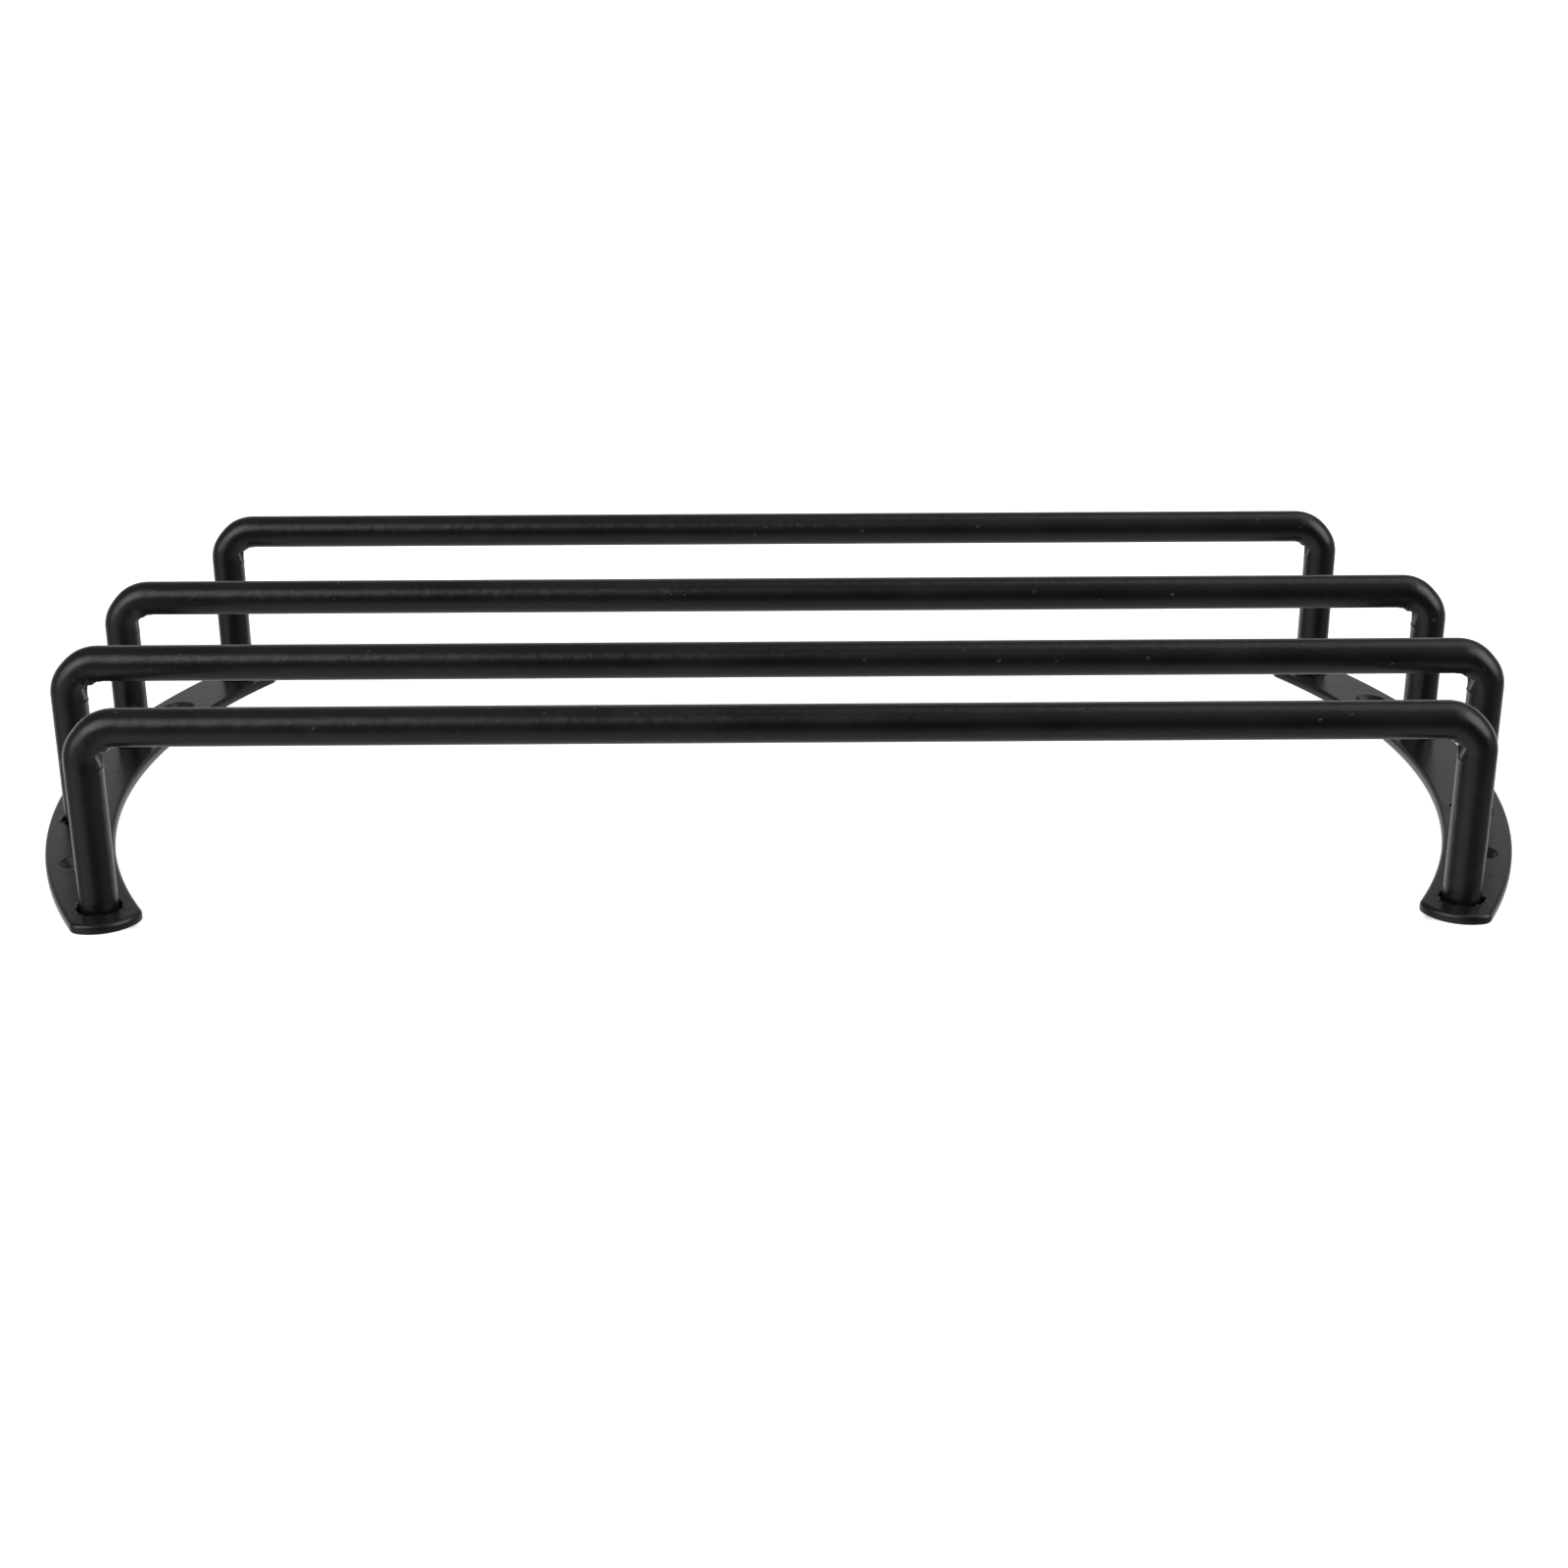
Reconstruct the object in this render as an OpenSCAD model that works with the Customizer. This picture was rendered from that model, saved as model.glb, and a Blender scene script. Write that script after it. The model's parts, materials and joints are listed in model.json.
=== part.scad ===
// Four-bar rack. Four hoops of round steel rod stand side by side in the holes
// of two flat curved plates, and each leg is welded in from below. The plates
// follow one circle and are screwed down through countersunk holes.
//
// X runs along the bars, Y from the front bar to the rear one, Z up. The origin
// is the middle of the rack, on the surface that the plates lie on.

/* [Rods] */
// Diameter of the round rod
rod_d = 8; // [6:0.5:10]
// Radius of each bend, along the middle of the rod
bend_r = 7.2; // [6:0.2:12]
// Height of the front and rear bars, from the plates' top to the rod's middle
outer_bar_h = 39.8; // [30:0.2:60]
// Height of the two middle bars, from the plates' top to the rod's middle
inner_bar_h = 37; // [30:0.2:60]
// Spacing of the bars, middle to middle
bar_pitch = 49; // [40:0.5:58]

/* [Plates] */
// Radius of the circle that the middle of both plates follows
arc_r = 160.5; // [130:0.5:200]
// Width of each plate
plate_w = 15; // [14:0.5:20]
// Thickness of each plate
plate_t = 2.2; // [1.8:0.1:4]
// How much further a plate reaches past its end legs than to either side of them
tip_extra = 2.1; // [1:0.1:6]
// Radius of the four corners of each plate
corner_r = 3.2; // [1:0.2:4]

/* [Welds] */
// Gap all round a leg in its hole
leg_gap = 0.3; // [0.1:0.05:0.5]
// Depth of the weld under each leg
weld_depth = 1; // [0.6:0.1:1.4]
// Width that the weld adds all round the hole at the underside
weld_flare = 0.8; // [0.4:0.1:1.2]

/* [Screw holes] */
// Diameter of the hole for the screw's shank
screw_d = 4.5; // [3.5:0.1:5]
// Diameter of the countersink at the plate's top
countersink_d = 7.6; // [6:0.1:9]
// Angle of the countersink, side to side
countersink_angle = 90; // [82:1:100]
// How far the holes lie outside the plates' middle circle
screw_offset = 0.6; // [-1:0.1:1.5]

/* [Hidden] */
$fn = 96;

// The bars are numbered from the front
FRONT = 0;
FRONT_MIDDLE = 1;
REAR_MIDDLE = 2;
REAR = 3;
LEFT = -1;
RIGHT = 1;

// How far a cutter runs past the face that it cuts
overrun = 1;
hole_r = rod_d / 2 + leg_gap;
outer_edge_r = arc_r + plate_w / 2;
inner_edge_r = arc_r - plate_w / 2;
tip_reach = plate_w / 2 + tip_extra;
countersink_depth = (countersink_d - screw_d) / 2 / tan(countersink_angle / 2);

function bar_y(bar) = (bar - (FRONT + REAR) / 2) * bar_pitch;
function bar_h(bar) = bar == FRONT || bar == REAR ? outer_bar_h : inner_bar_h;
// Each leg stands on the plates' middle circle
function leg_angle(bar) = asin(bar_y(bar) / arc_r);
function leg_x(bar) = arc_r * cos(leg_angle(bar));
function polar(r, angle) = [r * cos(angle), r * sin(angle)];

end_angle = leg_angle(REAR);
end_leg = polar(arc_r, end_angle);
// The screw holes lie halfway between the outer legs and the middle ones
screw_angle = (leg_angle(REAR) + leg_angle(REAR_MIDDLE)) / 2;

// Angle past the end leg of a point that is from_centre away from the middle of
// the plates' circle and from_leg away from the leg
function angle_past_leg(from_centre, from_leg) =
    acos((arc_r * arc_r + from_centre * from_centre - from_leg * from_leg)
        / (2 * arc_r * from_centre));

// Rounds the corner where a plate's edge, of radius edge_r, meets the arc of its
// end: a wedge takes the sharp corner off, and a disc that touches both fills it
module corner_wedge(edge_r, inset) {
    disc_r = edge_r + inset;
    disc_angle = end_angle + angle_past_leg(disc_r, tip_reach - corner_r);
    disc = polar(disc_r, disc_angle);
    sharp = polar(edge_r, end_angle + angle_past_leg(edge_r, tip_reach));
    polygon([
        disc,
        polar(edge_r, disc_angle),
        disc + (sharp - disc) * 1.5,
        end_leg + (disc - end_leg) * tip_reach / (tip_reach - corner_r)
    ]);
}

module corner_disc(edge_r, inset) {
    disc_r = edge_r + inset;
    disc_angle = end_angle + angle_past_leg(disc_r, tip_reach - corner_r);
    translate(polar(disc_r, disc_angle)) circle(r = corner_r);
}

// A stretch of the ring between the end legs, with an arc about the leg's
// middle at each end
module plate_outline() {
    difference() {
        intersection() {
            difference() {
                circle(r = outer_edge_r);
                circle(r = inner_edge_r);
            }
            union() {
                polygon([[0, 0], end_leg * 2, [end_leg.x, -end_leg.y] * 2]);
                for (flip = [0, 1]) mirror([0, flip])
                    translate(end_leg) circle(r = tip_reach);
            }
        }
        for (flip = [0, 1]) mirror([0, flip]) {
            corner_wedge(outer_edge_r, -corner_r);
            corner_wedge(inner_edge_r, corner_r);
        }
    }
    for (flip = [0, 1]) mirror([0, flip]) {
        corner_disc(outer_edge_r, -corner_r);
        corner_disc(inner_edge_r, corner_r);
    }
}

// The fill of weld under one leg, widest at the plate's underside
module weld_fill() {
    cylinder(h = weld_depth, r1 = hole_r + weld_flare, r2 = hole_r);
}

module leg_hole() {
    translate([0, 0, -overrun]) cylinder(h = plate_t + 2 * overrun, r = hole_r);
    weld_fill();
}

module screw_hole() {
    translate([0, 0, -overrun]) cylinder(h = plate_t + 2 * overrun, d = screw_d);
    translate([0, 0, plate_t - countersink_depth])
        cylinder(h = countersink_depth, d1 = screw_d, d2 = countersink_d);
}

module plate(side) {
    mirror([side == LEFT ? 1 : 0, 0, 0]) difference() {
        linear_extrude(plate_t) plate_outline();
        for (bar = [FRONT : REAR]) translate([leg_x(bar), bar_y(bar), 0]) leg_hole();
        for (end = [-1, 1]) rotate(end * screw_angle)
            translate([arc_r + screw_offset, 0, 0]) screw_hole();
    }
}

// One rod bent twice into a hoop: two legs and the bar between them. Each half
// is worked out around the middle of its bend, with the leg running down from
// there to its weld, inside the plate, and the bar running in to the middle
module hoop(bar) {
    x = leg_x(bar);
    bend_z = plate_t + bar_h(bar) - bend_r;
    for (flip = [0, 1]) mirror([flip, 0, 0])
        translate([x - bend_r, bar_y(bar), bend_z]) rotate([90, 0, 0]) {
            rotate_extrude(angle = 90) translate([bend_r, 0]) circle(d = rod_d);
            translate([bend_r, 0, 0]) rotate([90, 0, 0])
                cylinder(h = bend_z - weld_depth, d = rod_d);
            translate([0, bend_r, 0]) rotate([0, -90, 0])
                cylinder(h = x - bend_r, d = rod_d);
        }
}

module weld(bar, side) {
    color([0.12, 0.12, 0.12]) translate([side * leg_x(bar), bar_y(bar), 0]) weld_fill();
}

module left_plate() color([0.09, 0.09, 0.09]) plate(LEFT);
module right_plate() color([0.09, 0.09, 0.09]) plate(RIGHT);
module front_bar() color([0.06, 0.06, 0.06]) hoop(FRONT);
module front_middle_bar() color([0.06, 0.06, 0.06]) hoop(FRONT_MIDDLE);
module rear_middle_bar() color([0.06, 0.06, 0.06]) hoop(REAR_MIDDLE);
module rear_bar() color([0.06, 0.06, 0.06]) hoop(REAR);
module front_bar_left_weld() weld(FRONT, LEFT);
module front_bar_right_weld() weld(FRONT, RIGHT);
module front_middle_bar_left_weld() weld(FRONT_MIDDLE, LEFT);
module front_middle_bar_right_weld() weld(FRONT_MIDDLE, RIGHT);
module rear_middle_bar_left_weld() weld(REAR_MIDDLE, LEFT);
module rear_middle_bar_right_weld() weld(REAR_MIDDLE, RIGHT);
module rear_bar_left_weld() weld(REAR, LEFT);
module rear_bar_right_weld() weld(REAR, RIGHT);

left_plate();
right_plate();
front_bar();
front_middle_bar();
rear_middle_bar();
rear_bar();
front_bar_left_weld();
front_bar_right_weld();
front_middle_bar_left_weld();
front_middle_bar_right_weld();
rear_middle_bar_left_weld();
rear_middle_bar_right_weld();
rear_bar_left_weld();
rear_bar_right_weld();
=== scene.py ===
"""The four-bar rack, dressed: bent steel rods welded into two punched plates, all in
satin black powder coat, on a light table."""

import json

import bmesh
import bpy
import numpy as np
from mathutils import Matrix, Vector


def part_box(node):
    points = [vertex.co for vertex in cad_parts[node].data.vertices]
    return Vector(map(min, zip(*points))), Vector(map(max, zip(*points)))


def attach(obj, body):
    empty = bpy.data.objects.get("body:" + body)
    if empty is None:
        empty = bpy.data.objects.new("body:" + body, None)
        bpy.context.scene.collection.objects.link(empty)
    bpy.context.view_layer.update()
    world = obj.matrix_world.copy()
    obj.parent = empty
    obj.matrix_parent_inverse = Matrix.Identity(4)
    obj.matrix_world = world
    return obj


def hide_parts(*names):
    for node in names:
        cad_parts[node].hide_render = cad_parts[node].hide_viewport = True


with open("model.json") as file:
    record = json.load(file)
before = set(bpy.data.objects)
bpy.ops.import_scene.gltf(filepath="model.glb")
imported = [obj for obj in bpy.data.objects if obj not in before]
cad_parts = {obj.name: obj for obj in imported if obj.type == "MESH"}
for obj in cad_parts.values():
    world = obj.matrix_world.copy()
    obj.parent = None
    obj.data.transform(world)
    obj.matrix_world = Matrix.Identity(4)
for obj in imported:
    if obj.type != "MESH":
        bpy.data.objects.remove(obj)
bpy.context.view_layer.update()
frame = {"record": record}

# ---------------------------------------------------------------------------
# The two mounting plates
#
# Each is a strip of 2.2 mm steel sheet punched out along an arc, with four holes
# for the legs and two countersunk ones for screws. Punching and coating round its
# rim, and leave a low, ragged bead round each leg's hole.
# ---------------------------------------------------------------------------
MM = 0.001
TURN = 2 * np.pi
MOUNTS = {mount["name"]: mount for mount in frame["record"]["mounts"]}

plate_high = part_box("right_plate")[1]
arc_r = MOUNTS["right_plate_underside"]["pos_m"][0]
plate_t = plate_high.z
outer_r = plate_high.x
inner_r = 2 * arc_r - outer_r

middle_bar_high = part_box("rear_middle_bar")[1]
end_bar_low, end_bar_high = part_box("rear_bar")
rod_r = (end_bar_high.y - end_bar_low.y) / 2
middle_leg = np.array([middle_bar_high.x - rod_r, middle_bar_high.y - rod_r])
end_leg = np.array([end_bar_high.x - rod_r, end_bar_high.y - rod_r])
screw_hole = np.array([
    MOUNTS["screw_holes"]["dims"]["spacing_x_mm"] / 2 * MM,
    MOUNTS["screw_holes"]["dims"]["spacing_y_mm"] / 2 * MM,
])
tip_reach = plate_high.y - end_leg[1]
corner_r = 3.2 * MM
top_round = 0.90 * MM
under_round = 0.40 * MM
leg_gap = 0.3 * MM
leg_hole_r = rod_r + leg_gap
weld_top = end_bar_low.z
weld_flare = 0.8 * MM
weld_foot_r = leg_hole_r + weld_flare
shank_hole_r = MOUNTS["screw_holes"]["dims"]["hole_r_mm"] * MM
countersink_r = 3.8 * MM

# How many points a plate's rims, the two corners of its tip and its cuts have
rim_points = 40
end_rim_points = 36
outer_corner_points = 14
inner_corner_points = 16
cut_points = 18


def heading(point):
    """The angle of a flat point, seen from the origin."""
    return np.arctan2(point[1], point[0])


def polar(radius, angle):
    """Points on a circle about the origin, one for each angle."""
    return np.stack([radius * np.cos(angle), radius * np.sin(angle)], axis=-1)


def arc_run(centre, radius, first, last, count, side=1):
    """A run of points along an arc, and the plate's outward normal at each: the
    arc's own radial direction, or against it where side is -1."""
    angle = np.linspace(first, last, count)
    return centre + polar(radius, angle), side * polar(1.0, angle)


def angle_past_leg(from_centre, from_leg):
    """By the law of cosines, how far past the end leg a point lies that is
    from_centre away from the arc's centre and from_leg away from the leg."""
    cosine = (arc_r ** 2 + from_centre ** 2 - from_leg ** 2) / (2 * arc_r * from_centre)
    return np.arccos(cosine)


def rim_stretch(run):
    """A stretch of the plate's own edge, as points drawn in by an inset."""
    return lambda inset: run[0] - inset * run[1]


def cut_stretch(angle, outwards):
    """A straight cut across the plate, whose two ends are left to the rims."""
    way = -1 if outwards else 1
    return lambda inset: polar(
        np.linspace(outer_r - inset, inner_r + inset, cut_points)[1:-1][::way], angle
    )


def piece_between(low, high):
    """The outline of the piece of plate between two cuts: outer arc, cut, inner
    arc, cut. Gives its stretches in order, and the runs that are rims."""
    outer = arc_run(0, outer_r, low, high, rim_points)
    inner = arc_run(0, inner_r, high, low, rim_points, side=-1)
    stretches = [
        rim_stretch(outer), cut_stretch(high, False),
        rim_stretch(inner), cut_stretch(low, True),
    ]
    return stretches, [outer, inner]


def piece_at_end(low):
    """The same for the rounded end: outer arc, corner, tip about the end leg,
    corner, inner arc, cut."""
    leg_angle = heading(end_leg)
    outer_corner_at = leg_angle + angle_past_leg(outer_r - corner_r, tip_reach - corner_r)
    inner_corner_at = leg_angle + angle_past_leg(inner_r + corner_r, tip_reach - corner_r)
    outer_corner = polar(outer_r - corner_r, outer_corner_at)
    inner_corner = polar(inner_r + corner_r, inner_corner_at)
    tip_first = heading(outer_corner - end_leg)
    tip_last = heading(inner_corner - end_leg)
    runs = [
        arc_run(0, outer_r, low, outer_corner_at, end_rim_points),
        arc_run(outer_corner, corner_r, outer_corner_at, tip_first, outer_corner_points),
        arc_run(end_leg, tip_reach, tip_first, tip_last, end_rim_points),
        arc_run(inner_corner, corner_r, tip_last, inner_corner_at + np.pi, inner_corner_points),
        arc_run(0, inner_r, inner_corner_at, low, end_rim_points, side=-1),
    ]
    rim = tuple(
        np.vstack([run[part][:-1] for run in runs[:-1]] + [runs[-1][part]])
        for part in (0, 1)
    )
    return [rim_stretch(rim), cut_stretch(low, True)], [rim]


def quads(rows, columns, closed):
    """The faces of a grid of points numbered row by row, wrapped round in its
    columns if closed."""
    row, column = np.mgrid[0:rows - 1, 0:columns if closed else columns - 1]
    here = row * columns + column
    beside = row * columns + (column + 1) % columns
    face = np.stack([here, beside, beside + columns, here + columns], axis=-1)
    return face.reshape(-1, 4)


def grid_patch(rows, closed):
    """A patch from a stack of rows of points: its points and its faces."""
    rows = np.asarray(rows)
    return rows.reshape(-1, 3), quads(rows.shape[0], rows.shape[1], closed)


def ragged(angle, seed, waves):
    """A closed, uneven curve round a hole, mostly between -1 and 1: a sum of sines
    with whole numbers of waves, whose sizes and phases are drawn by seed."""
    draw = np.random.default_rng(seed)
    numbers = np.arange(waves[0], waves[1])
    size = draw.normal(size=len(numbers)) / np.sqrt(len(numbers) / 2)
    phase = draw.uniform(0, TURN, len(numbers))
    return (size * np.sin(angle[:, None] * numbers + phase)).sum(axis=1)


def leg_hole_rows(angle, seed):
    """The wall of a leg's hole, as (radius, height) rows from the weld's foot up to
    the plate's top. The mouth is broken out wider than the hole below it, and
    wavers, and a low bead of spatter stands round it."""
    waver = MM * (0.40 + 0.20 * ragged(angle, seed, (3, 21)))
    bead = MM * (0.06 + 0.05 * np.clip(ragged(angle, seed + 1, (2, 13)), -1.2, 1.8))
    least_gap = 0.12 * MM
    mouth = np.maximum(leg_hole_r + waver, rod_r + least_gap)
    flat = 0 * angle
    return [
        (weld_foot_r + flat, flat),
        (leg_hole_r + flat, weld_top + flat),
        (0.6 * leg_hole_r + 0.4 * mouth, 0.6 * plate_t + flat),
        (mouth - 0.04 * MM, plate_t - 0.25 * MM + flat),
        (mouth + 0.04 * MM, plate_t + 0.3 * bead),
        (mouth + 0.14 * MM, plate_t + bead),
        (mouth + 0.34 * MM, plate_t + 0.8 * bead),
        (mouth + 0.56 * MM, plate_t + 0.25 * bead),
        (mouth + 0.80 * MM, plate_t + flat),
    ]


def screw_hole_rows(angle, seed):
    """The wall of a screw's hole: over a small round at the underside, straight up,
    out along the countersink's cone, and over a small round at the top. It is cut
    clean, so nothing in it is drawn by seed."""
    flat = 0 * angle
    cone_foot = plate_t - (countersink_r - shank_hole_r)
    small = 0.14 * MM
    return [
        (shank_hole_r + small + flat, flat),
        (shank_hole_r + 0.3 * small + flat, 0.3 * small + flat),
        (shank_hole_r + flat, small + flat),
        (shank_hole_r + flat, cone_foot - small + flat),
        (shank_hole_r + 0.3 * small + flat, cone_foot + 0.2 * small + flat),
        (shank_hole_r + small + flat, cone_foot + small + flat),
        (countersink_r - small + flat, plate_t - small + flat),
        (countersink_r + 0.2 * small + flat, plate_t - 0.25 * small + flat),
        (countersink_r + small + flat, plate_t + flat),
    ]


def holed_piece(stretches, rims, centre, hole_rows, seed):
    """The patches of one piece of plate with a hole in it: the hole's wall, the top
    and the underside as rings stretched from the hole to the outline, and the rim
    as a quarter round above, a straight wall, and a smaller quarter round below."""
    top_loop = np.vstack([stretch(top_round) for stretch in stretches])
    under_loop = np.vstack([stretch(under_round) for stretch in stretches])
    spoke = polar(1.0, np.arctan2(*(top_loop - centre).T[::-1]))
    angle = np.arctan2(spoke[:, 1], spoke[:, 0])
    wall = [
        np.column_stack([centre + radius[:, None] * spoke, height])
        for radius, height in hole_rows(angle, seed)
    ]
    # Rings stand closer together near the hole and near the rim
    steps = [0.04, 0.3, 0.6, 0.9, 0.97, 1.0]
    round_points = 8

    def ring(start, loop, height):
        edge = np.column_stack([loop, np.full(len(loop), height)])
        return [start + step * (edge - start) for step in steps]

    sheet = ring(wall[0], under_loop, 0.0)[::-1] + wall + ring(wall[-1], top_loop, plate_t)
    patches = [grid_patch(sheet, closed=True)]
    quarter = np.linspace(0, np.pi / 2, round_points)
    out, drop = 1 - np.sin(quarter), 1 - np.cos(quarter)
    inset = np.concatenate([top_round * out, under_round * out[::-1]])
    height = np.concatenate([plate_t - top_round * drop, under_round * drop[::-1]])
    for rim, normal in rims:
        rows = [
            np.column_stack([rim - inwards * normal, np.full(len(rim), level)])
            for inwards, level in zip(inset, height)
        ]
        patches.append(grid_patch(rows, closed=False))
    return patches


def add_piece(name, patches):
    """One smooth mesh object from patches of points and faces, joined where they
    meet, with its faces turned outwards."""
    join_within = 0.003 * MM
    points, faces, offset = [], [], 0
    for patch_points, patch_faces in patches:
        points.append(patch_points)
        faces.append(patch_faces + offset)
        offset += len(patch_points)
    points = np.vstack(points)
    faces = np.vstack(faces)
    mesh = bpy.data.meshes.new(name)
    mesh.from_pydata(points.tolist(), [], faces.tolist())
    joined = bmesh.new()
    joined.from_mesh(mesh)
    bmesh.ops.remove_doubles(joined, verts=joined.verts, dist=join_within)
    bmesh.ops.recalc_face_normals(joined, faces=joined.faces)
    joined.to_mesh(mesh)
    joined.free()
    piece = bpy.data.objects.new(name, mesh)
    bpy.context.scene.collection.objects.link(piece)
    mesh.polygons.foreach_set("use_smooth", np.ones(len(mesh.polygons), bool))
    mesh.update()
    return piece


class Wire:
    """One output of a shader's node. Arithmetic on it adds Math nodes."""

    def __init__(self, tree, socket=None):
        self.tree = tree
        self.socket = socket

    def add(self, kind, settings=None, inputs=None, output=0):
        """Adds a node of that kind, and gives one of its outputs, by number or by
        name. Its settings are set first, then its sockets' values or links."""
        node = self.tree.nodes.new(kind)
        for name, value in (settings or {}).items():
            setattr(node, name, value)
        for name, value in (inputs or {}).items():
            if isinstance(value, Wire):
                self.tree.links.new(value.socket, node.inputs[name])
            else:
                node.inputs[name].default_value = value
        return Wire(self.tree, node.outputs[output])

    def _math(self, operation, first, second=0.0):
        return self.add("ShaderNodeMath", {"operation": operation}, {0: first, 1: second})

    def __add__(self, other):
        return self._math("ADD", self, other)

    def __radd__(self, other):
        return self._math("ADD", other, self)

    def __sub__(self, other):
        return self._math("SUBTRACT", self, other)

    def __rsub__(self, other):
        return self._math("SUBTRACT", other, self)

    def __mul__(self, other):
        return self._math("MULTIPLY", self, other)

    def __rmul__(self, other):
        return self._math("MULTIPLY", other, self)

    def between(self, low, high):
        """0 below low and 1 above high, with a smooth step between them."""
        return self.add(
            "ShaderNodeMapRange",
            {"interpolation_type": "SMOOTHSTEP", "clamp": True},
            {"Value": self, "From Min": low, "From Max": high},
        )

    def noise(self, wavelength, detail=2.0, roughness=0.5):
        """Cloudy noise on this position, with swells about a wavelength across."""
        return self.add(
            "ShaderNodeTexNoise",
            {"noise_dimensions": "3D"},
            {
                "Vector": self,
                "Scale": 1 / wavelength,
                "Detail": detail,
                "Roughness": roughness,
            },
        )

    def mix(self, first, second):
        """The first colour where this is 0, and the second one where it is 1."""
        first_colour, second_colour, mixed_colour = 6, 7, 2
        return self.add(
            "ShaderNodeMix",
            {"data_type": "RGBA"},
            {"Factor": self, first_colour: first, second_colour: second},
            output=mixed_colour,
        )

    def feed(self, node, name):
        """Links this to the socket of that name on a node that is already there."""
        self.tree.links.new(self.socket, node.inputs[name])


def powder_coat(name, dark, worn, peel_depth, roughness):
    """Satin black powder coat, dark in some clouds and worn in others. The powder
    flows out to a faint orange peel with a fine grain on it, and a nib of dust is
    baked in here and there. Raised edges are rubbed a little smoother and greyer,
    and a haze of dust lies on what faces up."""
    material = bpy.data.materials.new(name)
    material.use_nodes = True
    tree = material.node_tree
    shader = tree.nodes["Principled BSDF"]
    start = Wire(tree)
    place = start.add("ShaderNodeTexCoord", output="Object")
    peel = place.noise(1.3 * MM, detail=1.0)
    flow = place.noise(3.6 * MM, detail=1.0)
    grain = place.noise(0.22 * MM, detail=2.0, roughness=0.6)
    cloud = place.noise(16 * MM, detail=3.0)

    # Cells about 4 mm apart, of which about two in three have a nib in the middle
    nib_spacing = 4.2 * MM
    from_nib, nib_draw = [
        start.add(
            "ShaderNodeTexVoronoi",
            {"feature": "F1"},
            {"Vector": place, "Scale": 1 / nib_spacing, "Randomness": 1.0},
            output,
        )
        for output in ("Distance", "Color")
    ]
    chosen = start.add("ShaderNodeSeparateColor", inputs={"Color": nib_draw})
    nib = (1 - from_nib.between(0.045, 0.105)) * chosen.between(0.30, 0.34)

    # The bump's distance is a millimetre, so these depths are in millimetres
    flow_depth = 2.5 * peel_depth
    grain_depth = 0.0020
    nib_depth = 0.15
    height = peel * peel_depth + flow * flow_depth + grain * grain_depth + nib * nib_depth
    bump = start.add(
        "ShaderNodeBump",
        inputs={"Strength": 1.0, "Distance": MM, "Height": height},
    )
    edge = start.add("ShaderNodeNewGeometry", output="Pointiness").between(0.52, 0.60)
    rubbed = edge * cloud.between(0.35, 0.65)
    facing = start.add("ShaderNodeNewGeometry", output="Normal")
    up = start.add("ShaderNodeSeparateXYZ", inputs={"Vector": facing}, output="Z")
    dust = up.between(0.5, 1.0) * place.noise(0.5 * MM, detail=3.0).between(0.62, 0.8)

    rubbed_grey = (0.055, 0.055, 0.056, 1)
    dust_grey = (0.16, 0.16, 0.155, 1)
    coated = cloud.between(0.3, 0.7).mix(dark, worn)
    rubbed_coat = (rubbed * 0.5).mix(coated, rubbed_grey)
    (dust * 0.06).mix(rubbed_coat, dust_grey).feed(shader, "Base Color")
    uneven = (cloud - 0.5) * 0.10 + (grain - 0.5) * 0.10
    (roughness + uneven - rubbed * 0.07 + dust * 0.1).feed(shader, "Roughness")
    bump.feed(shader, "Normal")
    shader.inputs["IOR"].default_value = 1.5
    return material


plate_coat = powder_coat(
    "plate_coat",
    dark=(0.0060, 0.0060, 0.0062, 1),
    worn=(0.0100, 0.0100, 0.0102, 1),
    peel_depth=0.020,
    roughness=0.33,
)

middle_cut = (heading(middle_leg) + heading(screw_hole)) / 2
end_cut = (heading(screw_hole) + heading(end_leg)) / 2
for side, plate_name in [(-1, "left_plate"), (1, "right_plate")]:
    patches = []
    for half in (-1, 1):
        pieces = [
            (*piece_between(0.0, middle_cut), middle_leg, leg_hole_rows),
            (*piece_between(middle_cut, end_cut), screw_hole, screw_hole_rows),
            (*piece_at_end(end_cut), end_leg, leg_hole_rows),
        ]
        for number, piece in enumerate(pieces):
            seed = 100 + 20 * (side + 1) + 10 * (half + 1) + 3 * number
            for points, faces in holed_piece(*piece, seed):
                patches.append((points * np.array([side, half, 1]), faces))
    plate = add_piece(f"{plate_name}_sheet", patches)
    plate.data.materials.append(plate_coat)
    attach(plate, "root")
    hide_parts(plate_name)

# ---------------------------------------------------------------------------
# The four bent rods
#
# Each is one length of 8 mm round steel rod, bent cold over a small former at two
# corners. The bend flattens the rod a little on its outside. On its inside, the
# jaws leave a shallow bulge under the bar and a hollow bite in the leg.
# ---------------------------------------------------------------------------
BARS = ["front_bar", "front_middle_bar", "rear_middle_bar", "rear_bar"]
bend_r = 7.2 * MM
quarter_bend = bend_r * np.pi / 2
points_round_rod = 120


def smooth_step(value, low, high):
    """0 below low, 1 above high, and the smooth cubic between them."""
    share = np.clip((value - low) / (high - low), 0, 1)
    return share * share * (3 - 2 * share)


def rod_line(along, half_span, top):
    """The rod's middle line at distances along it from the middle of the bar: level,
    then a quarter circle, then straight down. Gives the place in x and z, and the
    direction that points out of the bend."""
    bar = half_span - bend_r
    turned = np.clip((along - bar) / bend_r, 0, np.pi / 2)
    down = np.maximum(along - bar - quarter_bend, 0)
    x = np.minimum(along, bar) + bend_r * np.sin(turned)
    z = top - bend_r * (1 - np.cos(turned)) - down
    return x, z, np.sin(turned), np.cos(turned)


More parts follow.
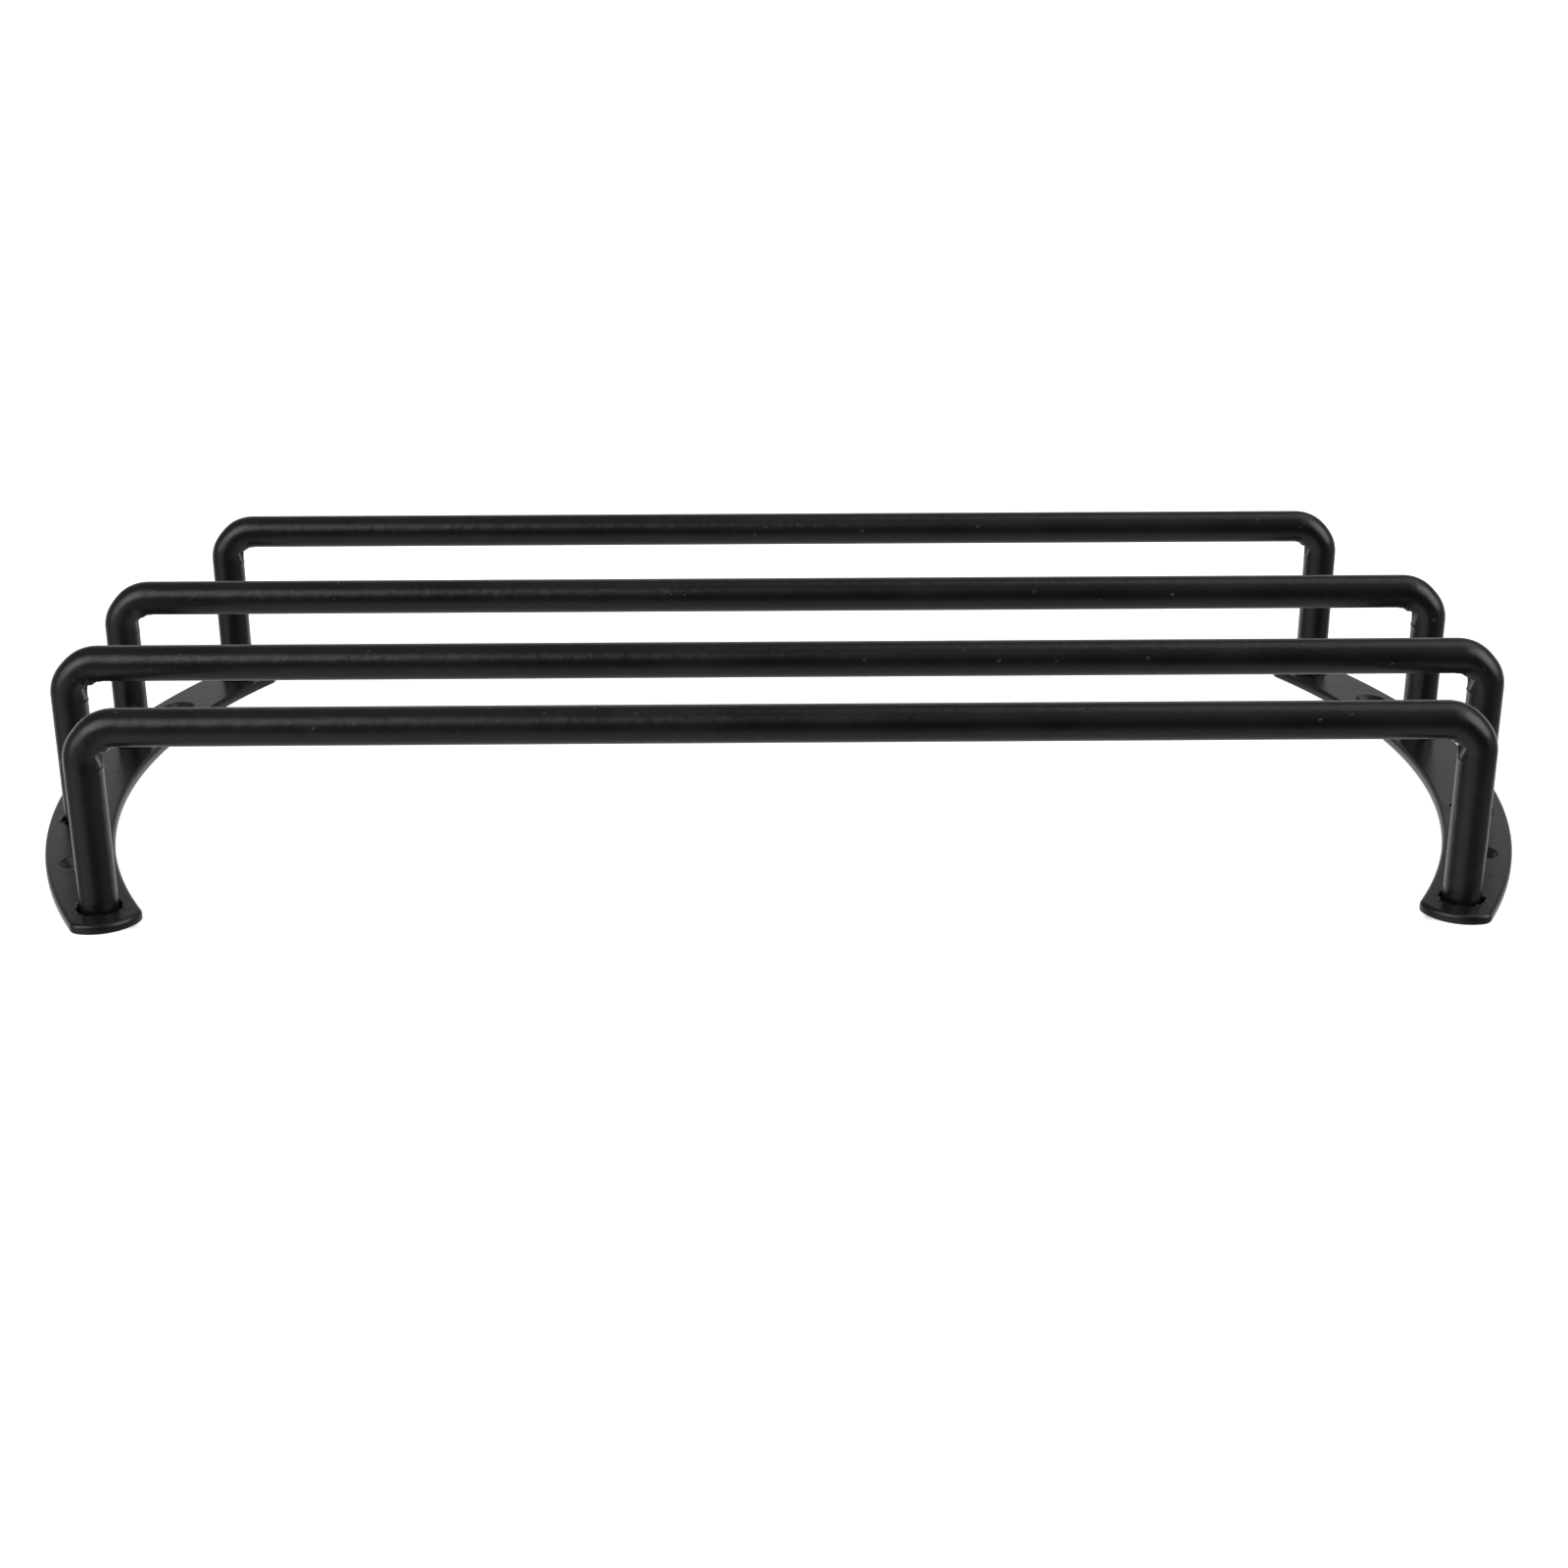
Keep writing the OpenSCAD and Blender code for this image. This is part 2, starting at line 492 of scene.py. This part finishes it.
def stations(half_span, leg):
    """Distances along half a rod where its rings stand: wide apart on the straight
    stretches, and close together about the bend, as far as the jaws' marks go."""
    bar = half_span - bend_r
    bend_end = bar + quarter_bend
    marked_bar = 14 * MM
    marked_leg = 9 * MM
    return np.concatenate([
        np.linspace(0, bar - marked_bar, 40)[:-1],
        np.linspace(bar - marked_bar, bar, 57)[:-1],
        np.linspace(bar, bend_end, 37)[:-1],
        np.linspace(bend_end, bend_end + marked_leg, 61)[:-1],
        np.linspace(bend_end + marked_leg, bend_end + leg, 12),
    ])


def jaw_marks(along, half_span, draw):
    """The rod's radius on the inside of the bend. The jaws leave two nearly straight
    faces there in place of the arc: one a little under the bar, which steps back
    up to it, and one bitten into the leg, which ends in a tooth. Inside the bend,
    the radius reaches to where a ray from the bend's middle meets the nearer face,
    which is closed in on by working out face and distance in turn."""
    bulge = draw.uniform(0.7, 1.1) * MM
    bulge_end = draw.uniform(4.6, 5.4) * MM
    ramp = draw.uniform(1.2, 2.4) * MM
    bite = draw.uniform(0.9, 1.25) * MM
    bite_length = draw.uniform(3.3, 3.7) * MM
    tooth = draw.uniform(0.02, 0.20) * MM
    lip_share = 0.16
    lip_length = 0.5 * MM
    tooth_at = 1.04
    tooth_length = 0.09

    def under_bar(inwards):
        past_ramp = (inwards - bulge_end - ramp) / lip_length
        left = 1 - smooth_step(inwards, bulge_end, bulge_end + ramp)
        return rod_r + bulge * (left + lip_share * np.exp(-past_ramp ** 2))

    def along_leg(down):
        share = (down - rod_r - bulge) / bite_length
        tip = tooth * np.exp(-((share - tooth_at) / tooth_length) ** 2)
        return rod_r - bite * np.clip(1 - np.maximum(share, 0), 0, 1) + tip

    bar = half_span - bend_r
    sliver = 1e-4
    turned = np.clip((along - bar) / bend_r, sliver, np.pi / 2 - sliver)
    to_bar = to_leg = 0.5 * bend_r + 0 * along
    for _ in range(12):
        to_bar = (bend_r - under_bar(bend_r - to_bar * np.sin(turned))) / np.cos(turned)
        to_leg = (bend_r - along_leg(bend_r - to_leg * np.cos(turned))) / np.sin(turned)
    in_bend = bend_r - np.minimum(to_bar, to_leg)
    on_bar = under_bar(bend_r + bar - along)
    on_leg = along_leg(bend_r + along - bar - quarter_bend)
    in_bend = np.where(along < bar, on_bar, in_bend)
    return np.where(along > bar + quarter_bend, on_leg, in_bend)


def bent_half(half_span, top, foot, side, seed):
    """Rings round half a rod. A ring's radius is the rod's own, with the jaws' marks
    inside the bend and less a flat outside it: a bite is a hollow cut across, and
    a bulge dies out smoothly to both sides. The bend squeezes the rod a little
    thinner outside and wider sideways."""
    draw = np.random.default_rng(seed)
    bar = half_span - bend_r
    along = stations(half_span, top - bend_r - foot)
    around = np.linspace(0, TURN, points_round_rod, endpoint=False)
    place, angle = np.meshgrid(along, around, indexing="ij")
    x, z, out_x, out_z = rod_line(place, half_span, top)

    # The angle is 0 on the outside of the bend and half a turn on the inside
    off_inner = np.abs(angle - np.pi - draw.uniform(-0.12, 0.12))
    inner = jaw_marks(along, half_span, draw)[:, None] + 0 * angle
    hollow = draw.uniform(1.6, 2.2)
    least_cosine = 0.2
    shallow = rod_r - (rod_r - inner) / hollow
    flat_cut = shallow / np.maximum(np.cos(off_inner), least_cosine)
    bitten = rod_r - hollow * (rod_r - np.minimum(rod_r, flat_cut))

    # How far round the rod a bulge reaches, on the leg and elsewhere, and its lumps
    reach = np.where(place > bar + quarter_bend, 0.75, 1.15)
    lumps = 1 + 0.35 * np.sin(9 * angle + 3 * place / MM) * np.sin(1.7 * place / MM)
    bulged = (inner - rod_r) * (1 - smooth_step(off_inner, 0.3, reach)) * lumps
    marked = np.where(inner < rod_r, bitten, rod_r + bulged)

    turned = np.clip((place - bar) / bend_r, 0, np.pi / 2)
    outside = np.clip(np.cos(angle), 0, 1) ** 2
    facet_at = draw.uniform(0.75, 0.95)
    facet_depth = draw.uniform(0.10, 0.22) * MM
    facet_length = 0.28
    flat = facet_depth * outside * np.exp(-((turned - facet_at) / facet_length) ** 2)
    squeeze = 0.10 * MM * outside * np.sin(2 * turned) ** 2
    spread = 0.16 * MM * np.sin(angle) ** 2 * np.exp(-((turned - 1.0) / 0.5) ** 2)
    spread = spread * (turned > 0)

    radius = marked - flat - squeeze + spread
    return np.stack([
        side * (x + radius * np.cos(angle) * out_x),
        radius * np.sin(angle),
        z + radius * np.cos(angle) * out_z,
    ], axis=-1)


rod_coat = powder_coat(
    "rod_coat",
    dark=(0.0045, 0.0045, 0.0047, 1),
    worn=(0.0080, 0.0080, 0.0082, 1),
    peel_depth=0.040,
    roughness=0.30,
)

for number, bar_name in enumerate(BARS):
    low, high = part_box(bar_name)
    half_span = high.x - rod_r
    top = high.z - rod_r
    at_y = (low.y + high.y) / 2
    patches = []
    for side in (-1, 1):
        rings = bent_half(half_span, top, low.z, side, 40 + 2 * number + (side > 0))
        rings[..., 1] += at_y
        foot_middle = rings[-1].mean(axis=0)
        foot = [rings[-1] + share * (foot_middle - rings[-1]) for share in (0.5, 1.0)]
        rows = np.concatenate([rings, foot])
        patches.append(grid_patch(rows, closed=True))
    hoop = add_piece(f"{bar_name}_rod", patches)
    hoop.data.materials.append(rod_coat)
    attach(hoop, "root")
    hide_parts(bar_name)

# ---------------------------------------------------------------------------
# The eight plug welds
#
# Each leg is fixed by a ring of weld laid from below into the flared foot of its
# hole. It is ground off level with the plate's underside before coating, so it
# shows as a disc with grinding marks and a few small pores.
# ---------------------------------------------------------------------------
weld_coat = powder_coat(
    "weld_coat",
    dark=(0.0105, 0.0105, 0.0107, 1),
    worn=(0.0150, 0.0150, 0.0152, 1),
    peel_depth=0.022,
    roughness=0.46,
)


def ground_weld(seed):
    """A plug about the origin: a flat top at the leg's foot, a flared side, and a
    ground face that dips in shallow scratches and pores and sinks at its brim. The
    scratches are a sine across the way of grinding, and each pore a bell curve."""
    draw = np.random.default_rng(seed)
    points_round = 72
    full = np.ones(points_round)
    angle = np.linspace(0, TURN, points_round, endpoint=False)
    spoke = polar(1.0, angle)
    grind_way = draw.uniform(0, np.pi)
    pores = draw.uniform(-0.6, 0.6, (4, 2)) * weld_foot_r
    scratch_depth = 0.012 * MM
    brim_depth = 0.10 * MM
    pore_depth = 0.12 * MM
    fine = 0.35 * MM
    brim_inset = 0.02 * MM
    rows = []
    for share in [0.0, 0.5, 1.0]:
        rows.append(np.column_stack([share * leg_hole_r * spoke, weld_top * full]))
    for share in np.linspace(0.2, 0.8, 4):
        radius = leg_hole_r + share * weld_flare
        rows.append(np.column_stack([radius * spoke, weld_top * (1 - share) * full]))
    for share in [1.0, 0.985, 0.96, 0.9, 0.8, 0.7, 0.6, 0.5, 0.4, 0.3, 0.2, 0.1, 0.0]:
        flat = share * (weld_foot_r - brim_inset) * spoke
        across = flat @ np.array([np.cos(grind_way), np.sin(grind_way)])
        scratch = scratch_depth * (1 + np.sin(across / fine + 2 * np.sin(across / MM)))
        brim = brim_depth * smooth_step(share * full, 0.94, 1.0)
        gap = np.linalg.norm(flat[:, None] - pores, axis=2)
        pore = pore_depth * np.exp(-(gap / fine) ** 2).sum(axis=1)
        rows.append(np.column_stack([flat, scratch + brim + pore]))
    return grid_patch(rows, closed=True)


for number, bar_name in enumerate(BARS):
    for side, side_name in [(-1, "left"), (1, "right")]:
        node = f"{bar_name}_{side_name}_weld"
        low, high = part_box(node)
        points, faces = ground_weld(70 + 2 * number + (side > 0))
        points = points + np.array([(low.x + high.x) / 2, (low.y + high.y) / 2, 0])
        plug = add_piece(f"{node}_plug", [(points, faces)])
        plug.data.materials.append(weld_coat)
        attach(plug, "root")
        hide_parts(node)

# ---------------------------------------------------------------------------
# The light table, the tent of soft light round it and the camera
#
# The rack stands on a white sheet that glows from below, inside a tent of white
# cloth with a soft box to each side. Under the plates the sheet's glow and colour
# are darkened: a painted shadow, which shows through the plates' holes.
# ---------------------------------------------------------------------------
table_half = 9.0
table_mesh = bpy.data.meshes.new("light_table")
table_mesh.from_pydata(
    [(-table_half, -table_half, 0), (table_half, -table_half, 0),
     (table_half, table_half, 0), (-table_half, table_half, 0)],
    [],
    [(0, 1, 2, 3)],
)
light_table = bpy.data.objects.new("light_table", table_mesh)
bpy.context.scene.collection.objects.link(light_table)
table_white = bpy.data.materials.new("table_white")
table_white.use_nodes = True
table_shader = table_white.node_tree.nodes["Principled BSDF"]
table_shader.inputs["Roughness"].default_value = 0.9
table_shader.inputs["Specular IOR Level"].default_value = 0.0
table_shader.inputs["Emission Strength"].default_value = 0.76
table = Wire(table_white.node_tree, table_shader.outputs["BSDF"])
spot = table.add("ShaderNodeTexCoord", output="Object")
from_middle = table.add(
    "ShaderNodeVectorMath",
    {"operation": "LENGTH"},
    {"Vector": spot},
    output="Value",
)
depth_y = table.add("ShaderNodeSeparateXYZ", inputs={"Vector": spot}, output="Y")
# Painted shadow: a mask of the plates' outline, within which the sheet is darkened
past_inner_rim = from_middle.between(inner_r + MM, inner_r + 3 * MM)
past_outer_rim = from_middle.between(outer_r - 3 * MM, outer_r - MM)
past_tips = (depth_y * depth_y).between(float(end_leg[1]) ** 2, float(plate_high.y) ** 2)
painted_plate_shadow = past_inner_rim * (1 - past_outer_rim) * (1 - past_tips)
lit = 1 - painted_plate_shadow * 0.93
lit_white = table.add("ShaderNodeCombineColor", inputs={"Red": lit, "Green": lit, "Blue": lit})
# The painted shadow dims both the sheet's glow and its own colour
lit_white.feed(table_shader, "Emission Color")
lit.mix((0.22, 0.22, 0.22, 1), (0.82, 0.82, 0.82, 1)).feed(table_shader, "Base Color")

# From below the sheet is clear, so that the rack's underside can be seen
from_below = table.add("ShaderNodeNewGeometry", output="Backfacing")
clear = table.add("ShaderNodeBsdfTransparent")
surface = table.add("ShaderNodeMixShader", inputs={"Fac": from_below, 1: table, 2: clear})
surface.feed(table_white.node_tree.nodes["Material Output"], "Surface")
table_mesh.materials.append(table_white)

# Only the tent lights the rack: its paper panels stand for the light from the sheet
light_table.visible_glossy = False
light_table.visible_diffuse = False
light_table.visible_shadow = False

world = bpy.data.worlds.new("tent")
world.use_nodes = True
bpy.context.scene.world = world
tent = world.node_tree
ray = Wire(tent).add("ShaderNodeTexCoord", output="Generated")


def panel(centre, full, none):
    """1 in the directions within full degrees of the centre, 0 past none degrees."""
    cosine = ray.add(
        "ShaderNodeVectorMath",
        {"operation": "DOT_PRODUCT"},
        {0: ray, 1: Vector(centre).normalized()},
        output="Value",
    )
    low, high = np.cos(np.radians([none, full])).tolist()
    return cosine.between(low, high)


# What each direction sends: the tent's dim cloth, brighter low at the back; two
# soft boxes, at the left front and above the right, with a small one beside each;
# the paper under the rack, which is brighter straight down, on the left and far
# out behind both sides; and the dark room in front
cloth = 0.15 + panel((0, 1, -0.12), 12, 50) * 0.58
paper = panel((0, 0, -1), 25, 80) * 0.30 + panel((-0.64, -0.66, -0.38), 14, 42) * 0.32
paper = paper + panel((-0.64, 0.70, -0.34), 10, 29) * 0.64
paper = paper + panel((0.64, 0.70, -0.34), 10, 29) * 0.50
left_box = panel((-0.52, -0.62, 0.66), 12, 28) * 2.4
left_box = left_box + panel((-0.84, -0.46, 0.30), 10, 28) * 1.5
right_box = panel((0.48, 0.12, 0.87), 18, 30) * 0.85
far_box = panel((0.84, -0.32, 0.44), 14, 30) * 2.8
dark_room = panel((0.30, -0.95, 0.12), 15, 58) * 0.14
glow = cloth + paper + left_box + right_box + far_box - dark_room

# Past the sheet the camera sees plain white
seen = ray.add("ShaderNodeLightPath")
(seen + (1 - seen) * glow).feed(tent.nodes["Background"], "Strength")
tent.nodes["Background"].inputs["Color"].default_value = (1, 1, 1, 1)

camera_data = bpy.data.cameras.new("camera")
camera_data.lens = 55.11
camera_data.sensor_width = 36
camera = bpy.data.objects.new("camera", camera_data)
bpy.context.scene.collection.objects.link(camera)
pitch, yaw, roll = np.radians([21.582, 0.723, -0.105])
camera.matrix_world = (
    Matrix.Translation((-0.0055, -0.5320, 0.2101))
    @ Matrix.Rotation(-yaw, 4, "Z")
    @ Matrix.Rotation(np.pi / 2 - pitch, 4, "X")
    @ Matrix.Rotation(roll, 4, "Z")
)
camera_data.clip_start = 0.01
camera_data.clip_end = 40
bpy.context.scene.camera = camera
bpy.context.scene.view_settings.view_transform = "Standard"
